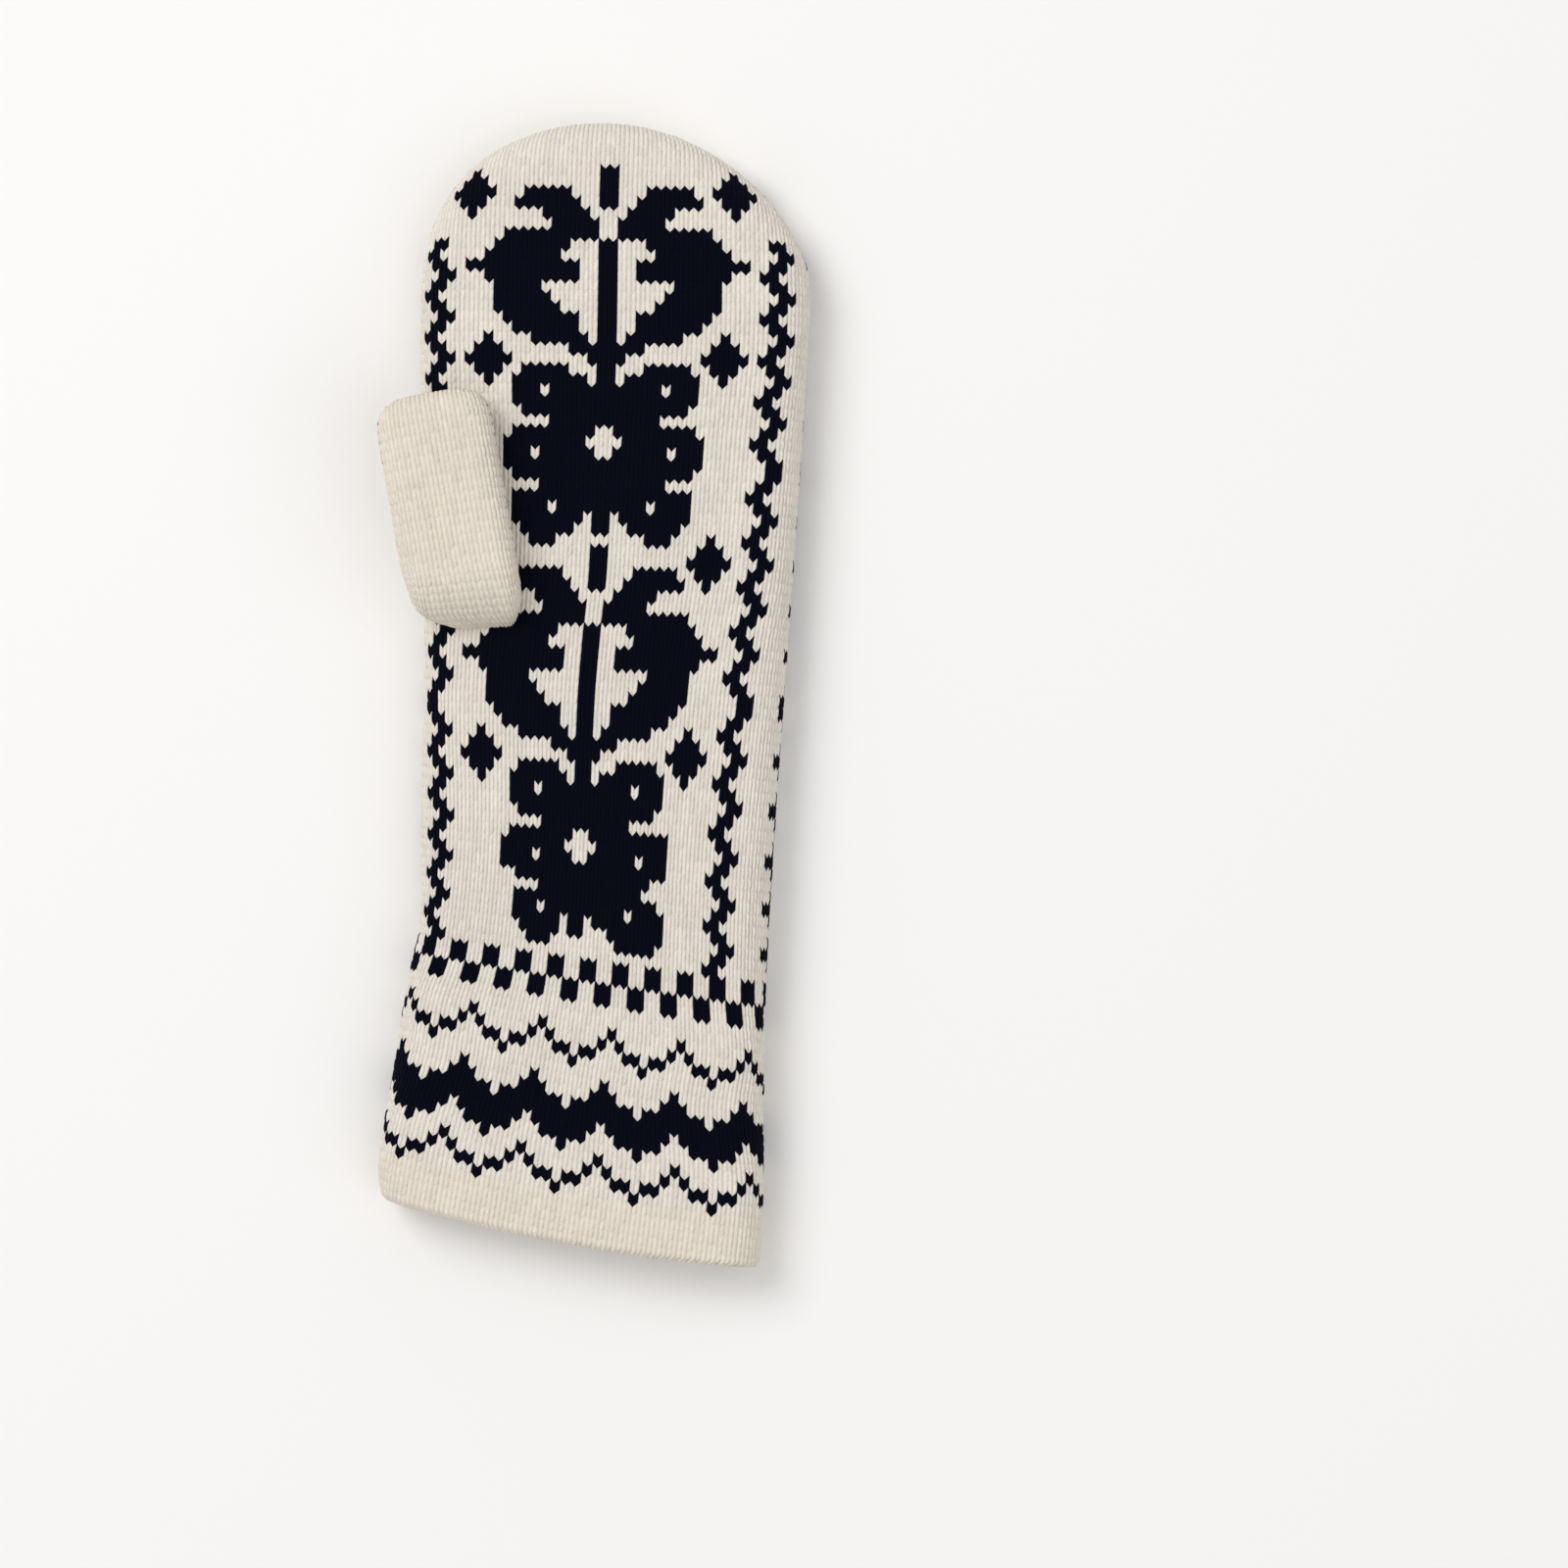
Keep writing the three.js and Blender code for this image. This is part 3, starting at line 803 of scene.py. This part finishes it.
# %% Placing a point of the thumb
def lay_thumb(column, row, side, inset=0.0):
    """Places points of the thumb's cloth, as lay_hand does."""
    angle = np.clip(row / THUMB_ROOT_ROWS, 0, 1) * math.pi / 2
    part = angle / (math.pi / 2)
    depth = THUMB_ROOT_DEPTH + (THUMB_THICKNESS - THUMB_ROOT_DEPTH) * part
    # The root spreads out fast at first and then slowly
    spreading = 0.8 * smooth(3 * part) + 0.2 * part
    half = THUMB_ROOT_HALF_WIDTH + (THUMB_HALF_WIDTH - THUMB_ROOT_HALF_WIDTH) * spreading
    radius = depth / 2 - inset
    fold = THUMB_ROOT_FOLD + (THUMB_THICKNESS / 2 - THUMB_ROOT_FOLD) * part**2 - inset
    arc = math.pi / 2 * np.sqrt((radius**2 + fold**2) / 2)
    opened = half - inset + arc - fold
    quarter = THUMB_ROUND / 4
    pitch = opened / quarter
    on_top = np.where(side == 0, np.abs(column) <= quarter, side > 0)
    far = np.sign(column) * (2 * quarter - np.abs(column))
    x = np.where(on_top, column, far) * pitch
    up = np.where(on_top, 1.0, -1.0)

    run = np.maximum(row - THUMB_ROOT_ROWS, 0) * THUMB_ROW_PITCH
    tip_start = thumb_length - THUMB_TIP_LENGTH - turn_at
    beyond = np.maximum(run - tip_start, 0)
    length = THUMB_TIP_LENGTH - inset + OPENED * radius
    share_x = np.abs(x) / opened
    share_y = beyond / length
    reach = np.maximum((share_x**SQUARENESS + share_y**SQUARENESS) ** (1 / SQUARENESS), TINY)
    steep_x = np.sign(x) * (share_x / reach) ** (SQUARENESS - 1) / opened
    steep_y = (share_y / reach) ** (SQUARENESS - 1) / length
    steep = np.maximum(np.hypot(steep_x, steep_y), TINY)
    inside = np.where(beyond > 0, (1 - reach) / steep, opened - np.abs(x))
    inward_x = -steep_x / steep
    inward_y = -steep_y / steep
    too_far = np.maximum(reach, 1)
    x = x / too_far
    run = run - beyond * (1 - 1 / too_far)
    pull, height, turn, _ = fold_over(inside, radius, fold, arc)
    x = x + inward_x * pull + THUMB_ROOT_SHIFT * (1 - spreading)
    out = THUMB_TURN_RADIUS + depth / 2 + up * height
    drop = np.minimum(row, 0) * THUMB_ROW_PITCH
    along = turn_at - out * np.cos(angle) + run + inward_y * pull
    along = along - THUMB_SLANT * x * (1 - smooth(along / THUMB_SLANT_LENGTH))
    z = turn_height + out * np.sin(angle) + drop
    place = THUMB_BASE + along[..., None] * thumb_along + x[..., None] * thumb_across
    points = np.concatenate([place + np.array(FLOWER), z[..., None]], axis=-1)
    level_x = -inward_x * np.cos(turn)
    level_y = -inward_y * np.cos(turn) - up * np.sin(turn) * np.cos(angle)
    level = level_y[..., None] * thumb_along + level_x[..., None] * thumb_across
    outward = np.concatenate([level, (up * np.sin(turn) * np.sin(angle))[..., None]], axis=-1)
    return points, outward, inside


def in_thumb_opening(points):
    """True for points of the palm that lie inside the root of the thumb."""
    place = points[:, :2] - np.array(FLOWER) - THUMB_BASE
    across = (place @ thumb_across - THUMB_ROOT_SHIFT) / (THUMB_ROOT_HALF_WIDTH - OPENING_LAP)
    along = (place @ thumb_along - THUMB_ROOT_DEPTH / 2) / (THUMB_ROOT_DEPTH / 2 - OPENING_LAP)
    return (points[:, 2] > FOLD) & (across**4 + along**4 < 1)


thumb_tip = lay_thumb(np.array([0.0]), np.array([THUMB_ROOT_ROWS + 15.0]), np.array([1]))[0]
print("near the thumb's end", thumb_tip.round(4))

# %% [markdown]
# ## Which stitches there are
# Up to the tip every row has all its stitches. In the round tip the palm and the back are two
# sheets that meet at the edge, and a stitch stays only where some of it lies inside the outline,
# as the knitter's decreases leave it.

# %% Lists of stitches
# A stitch of a tip is kept if a corner of it lies at least this far inside the outline
LEAST_INSIDE = 0.05 * MM


def ring_rows(first, last, count):
    """All the stitches of full rows: column, row and side 0."""
    rows, columns = np.meshgrid(np.arange(first, last), np.arange(count) - count // 2, indexing="ij")
    return np.stack([columns.ravel(), rows.ravel(), np.zeros(rows.size)], axis=-1).astype(float)


def tip_rows(first, last, count, lay):
    """The stitches of the closed end, on both sides, that reach inside the outline."""
    kept = []
    for side in (1, -1):
        stitches = ring_rows(first, last, count)
        stitches[:, 2] = side
        corners_x = stitches[:, 0, None] + np.array([0, 0.5, 1, 0, 0.5, 1])
        corners_y = stitches[:, 1, None] + np.array([V_RISE, 0, V_RISE, 1 + V_RISE, 1, 1 + V_RISE])
        _, _, inside = lay(corners_x, corners_y, np.full(corners_x.shape, side))
        kept.append(stitches[inside.max(axis=1) > LEAST_INSIDE])
    return np.concatenate(kept)


def colours_of(stitches):
    return np.array([float(is_dark(int(column), int(row))) for column, row, _ in stitches])


TIP_START = int(TIP_ROW) - 1
# The middle of a stitch from its corner, in columns and in rows
MIDDLE_ACROSS = 0.5
MIDDLE_ALONG = 0.7
hand_stitches = np.concatenate([
    ring_rows(CUFF_ROWS, TIP_START, STITCHES_ROUND),
    tip_rows(TIP_START, LAST_ROW, STITCHES_ROUND, lay_hand),
])
middle_columns = hand_stitches[:, 0] + MIDDLE_ACROSS
middle_rows = hand_stitches[:, 1] + MIDDLE_ALONG
middles, _, _ = lay_hand(middle_columns, middle_rows, hand_stitches[:, 2])
hand_stitches = hand_stitches[~in_thumb_opening(middles)]
goes_to_palm = np.where(
    hand_stitches[:, 2] == 0,
    (hand_stitches[:, 0] >= -SIDE_COLUMN) & (hand_stitches[:, 0] < SIDE_COLUMN),
    hand_stitches[:, 2] > 0,
)
print("hand stitches", len(hand_stitches), "on the palm", int(goes_to_palm.sum()))

# %% [markdown]
# ## The hand and the cuff
# The hand is knitted as two pieces, its palm and its back, so that neither is too heavy. Both
# have the inner face of the wall behind them. There the wool that isn't in use runs along behind
# the stitches, so the colours mix in short streaks.

# %% Hand
# A streak is three stitches long. The streaks stand in a slanted order, one place in four
STREAK = 3
STREAK_STEP = 7
STREAK_ROW_STEP = 3
STREAK_PLACES = 4


def inner_colours(stitches, colours):
    """Dark on the inside: the stitch's own colour, or the other one where a strand passes."""
    order = np.floor(stitches[:, 0] / STREAK) * STREAK_STEP + stitches[:, 1] * STREAK_ROW_STEP
    passes = order % STREAK_PLACES == 0
    patterned = stitches[:, 1] >= HEM_ROWS + 1
    return np.where(passes & patterned, 1 - colours, colours)


def knit_tube(name, stitches, material):
    colours = colours_of(stitches)
    inside = lay_inside(lay_hand, stitches, inner_colours(stitches, colours), WALL)
    return knit(name, lay_hand, stitches, colours, material, inside)


palm = knit_tube("hand_palm", hand_stitches[goes_to_palm], PATTERNED_WOOL)
back = knit_tube("hand_back", hand_stitches[~goes_to_palm], PATTERNED_WOOL)
cuff = knit_tube("cuff_knit", ring_rows(HEM_ROWS, CUFF_ROWS, STITCHES_ROUND), PATTERNED_WOOL)

# %% [markdown]
# ## The hem
# The plain hem is turned in and doubled. Its rows run down the outside, round the thick edge of
# the mouth and up again on the inside, so the same stitch is laid along that path.

# %% Hem
HEM_FOLD = HEM_WALL / 2
EDGE_ROW = HEM_FOLD / ROW_PITCH
EDGE_LENGTH = math.pi * HEM_FOLD / ROW_PITCH
HEM_PATH_ROWS = 11


def lay_hem(column, row, side):
    """row counts up to the hem's last row on the outside and goes below zero round the edge."""
    down = HEM_ROWS - row
    rolled = np.clip((down - (HEM_ROWS - EDGE_ROW)) / EDGE_LENGTH, 0, 1) * math.pi
    after = np.maximum(down - (HEM_ROWS - EDGE_ROW) - EDGE_LENGTH, 0)
    before = np.minimum(down, HEM_ROWS - EDGE_ROW)
    place = HEM_ROWS - before - EDGE_ROW * np.sin(rolled) + after
    points, outward, inside = lay_hand(column, place, side, HEM_FOLD * (1 - np.cos(rolled)))
    towards_mouth = np.array([0.0, -1.0, 0.0])
    turned = outward * np.cos(rolled)[..., None] + towards_mouth * np.sin(rolled)[..., None]
    return points, turned, inside


hem_stitches = ring_rows(HEM_ROWS - HEM_PATH_ROWS, HEM_ROWS, STITCHES_ROUND)
hem = knit("hem_knit", lay_hem, hem_stitches, np.zeros(len(hem_stitches)), PLAIN_WOOL)

# %% [markdown]
# ## The thumb
# The thumb is plain. It has all its rows up to the rounded end, then the two sides close.

# %% Thumb
THUMB_LAST_ROW = THUMB_ROOT_ROWS + 18
THUMB_TIP_START = THUMB_ROOT_ROWS + 10
thumb_stitches = np.concatenate([
    ring_rows(-1, THUMB_TIP_START, THUMB_ROUND),
    tip_rows(THUMB_TIP_START, THUMB_LAST_ROW, THUMB_ROUND, lay_thumb),
])
thumb_colours = np.zeros(len(thumb_stitches))
thumb_inside = lay_inside(lay_thumb, thumb_stitches, thumb_colours, THUMB_WALL)
thumb = knit("thumb_knit", lay_thumb, thumb_stitches, thumb_colours, PLAIN_WOOL, thumb_inside)

# %% [markdown]
# ## The pieces on the body
# Every piece rides on the one body of the model, and the CAD node that it stands for is hidden.

# %% Finish
for piece, node, slot in (
    (palm, "hand", "hand_wool"), (back, "hand", "hand_wool"), (cuff, "cuff", "cuff_wool"),
    (hem, "cuff_hem", "plain_wool"), (thumb, "thumb", "plain_wool"),
):
    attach(piece, "root")
    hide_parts(node)
